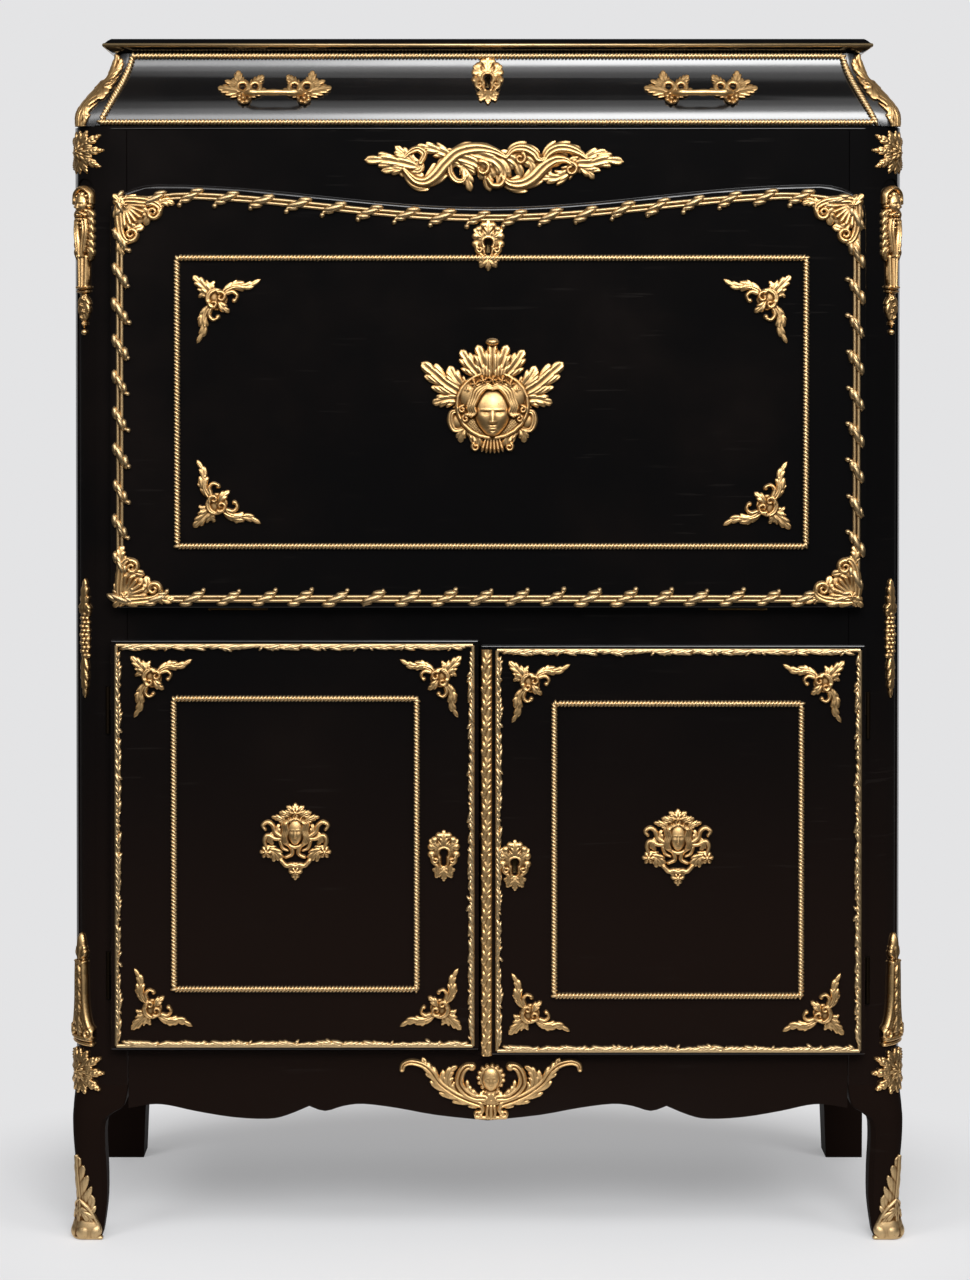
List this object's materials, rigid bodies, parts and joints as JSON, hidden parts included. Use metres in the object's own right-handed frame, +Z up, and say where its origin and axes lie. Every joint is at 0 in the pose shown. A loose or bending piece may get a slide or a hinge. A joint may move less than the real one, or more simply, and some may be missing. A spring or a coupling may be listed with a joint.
{
  "type": "fall-front secretary",
  "caption": "Black lacquered fall-front secretary with an ogee top drawer, a drop-down writing desk, a cupboard with paired doors, cabriole feet and gilt bronze mounts.",
  "frame": {"origin": "on the floor, under the middle of the overall box", "axes": "+Z up, front faces -Y, +X to the viewer's right"},
  "size_m": [1.0096, 0.4499, 1.45],
  "materials": {
    "black_lacquer": "ebonised, glossy lacquer with light wear",
    "inner_wood": "oiled, satin",
    "gilt_bronze": "aged gilding",
    "brass": "dull, handled",
    "steel": "filed",
    "leather": "worn, matt"
  },
  "bodies": {
    "case": {"top_board": "black_lacquer", "left_cornice": "black_lacquer", "right_cornice": "black_lacquer", "back_panel": "inner_wood", "left_side": "black_lacquer", "right_side": "black_lacquer", "left_post": "black_lacquer", "right_post": "black_lacquer", "left_back_post": "black_lacquer", "right_back_post": "black_lacquer", "frieze_rail": "black_lacquer", "dust_board": "inner_wood", "middle_rail": "black_lacquer", "desk_floor": "inner_wood", "cupboard_shelf": "inner_wood", "cupboard_floor": "black_lacquer", "apron": "black_lacquer", "desk_shelf": "inner_wood", "left_divider": "inner_wood", "right_divider": "inner_wood", "left_fall_hinge_base": "brass", "right_fall_hinge_base": "brass", "left_door_lower_hinge_base": "brass", "left_door_upper_hinge_base": "brass", "right_door_lower_hinge_base": "brass", "right_door_upper_hinge_base": "brass", "left_sabot": "gilt_bronze", "right_sabot": "gilt_bronze", "left_term": "gilt_bronze", "right_term": "gilt_bronze", "left_volute": "gilt_bronze", "right_volute": "gilt_bronze"},
    "drawer": {"drawer_front": "black_lacquer", "drawer_box": "inner_wood", "left_pull": "gilt_bronze", "right_pull": "gilt_bronze", "drawer_lock": "brass"},
    "fall": {"fall_panel": "black_lacquer", "writing_leather": "leather", "left_stay": "brass", "right_stay": "brass", "fall_lock": "brass", "fall_mask": "gilt_bronze", "left_fall_hinge_leaf": "brass", "right_fall_hinge_leaf": "brass"},
    "left_door": {"left_door": "black_lacquer", "left_door_lower_hinge_leaf": "brass", "left_door_upper_hinge_leaf": "brass"},
    "right_door": {"right_door": "black_lacquer", "astragal": "gilt_bronze", "door_lock": "brass", "right_door_lower_hinge_leaf": "brass", "right_door_upper_hinge_leaf": "brass"},
    "drawer_bolt": {"drawer_bolt": "steel"},
    "fall_bolt": {"fall_bolt": "steel"},
    "door_bolt": {"door_bolt": "steel"},
    "small_drawer": {"small_drawer": "inner_wood", "left_knob": "brass", "right_knob": "brass"}
  },
  "joints": [
    {"name": "drawer_slide", "type": "slide", "parent": "case", "child": "drawer", "axis": [0, -1, 0], "range_m": [0, 0.24]},
    {"name": "fall_hinge", "type": "hinge", "parent": "case", "child": "fall", "pos_m": [0, -0.1853, 0.763], "axis": [1, 0, 0], "range_deg": [0, 90]},
    {"name": "left_door_hinge", "type": "hinge", "parent": "case", "child": "left_door", "pos_m": [-0.4565, -0.1853, 0.48], "axis": [0, 0, -1], "range_deg": [0, 105]},
    {"name": "right_door_hinge", "type": "hinge", "parent": "case", "child": "right_door", "pos_m": [0.4565, -0.1853, 0.48], "axis": [0, 0, 1], "range_deg": [0, 105]},
    {"name": "small_drawer_slide", "type": "slide", "parent": "case", "child": "small_drawer", "axis": [0, -1, 0], "range_m": [0, 0.12]},
    {"name": "drawer_bolt_slide", "type": "slide", "parent": "drawer", "child": "drawer_bolt", "axis": [0, 0, 1], "range_m": [0, 0.01]},
    {"name": "fall_bolt_slide", "type": "slide", "parent": "fall", "child": "fall_bolt", "axis": [0, 0, 1], "range_m": [0, 0.01]},
    {"name": "door_bolt_slide", "type": "slide", "parent": "right_door", "child": "door_bolt", "axis": [0, 0, 1], "range_m": [0, 0.01]}
  ]
}
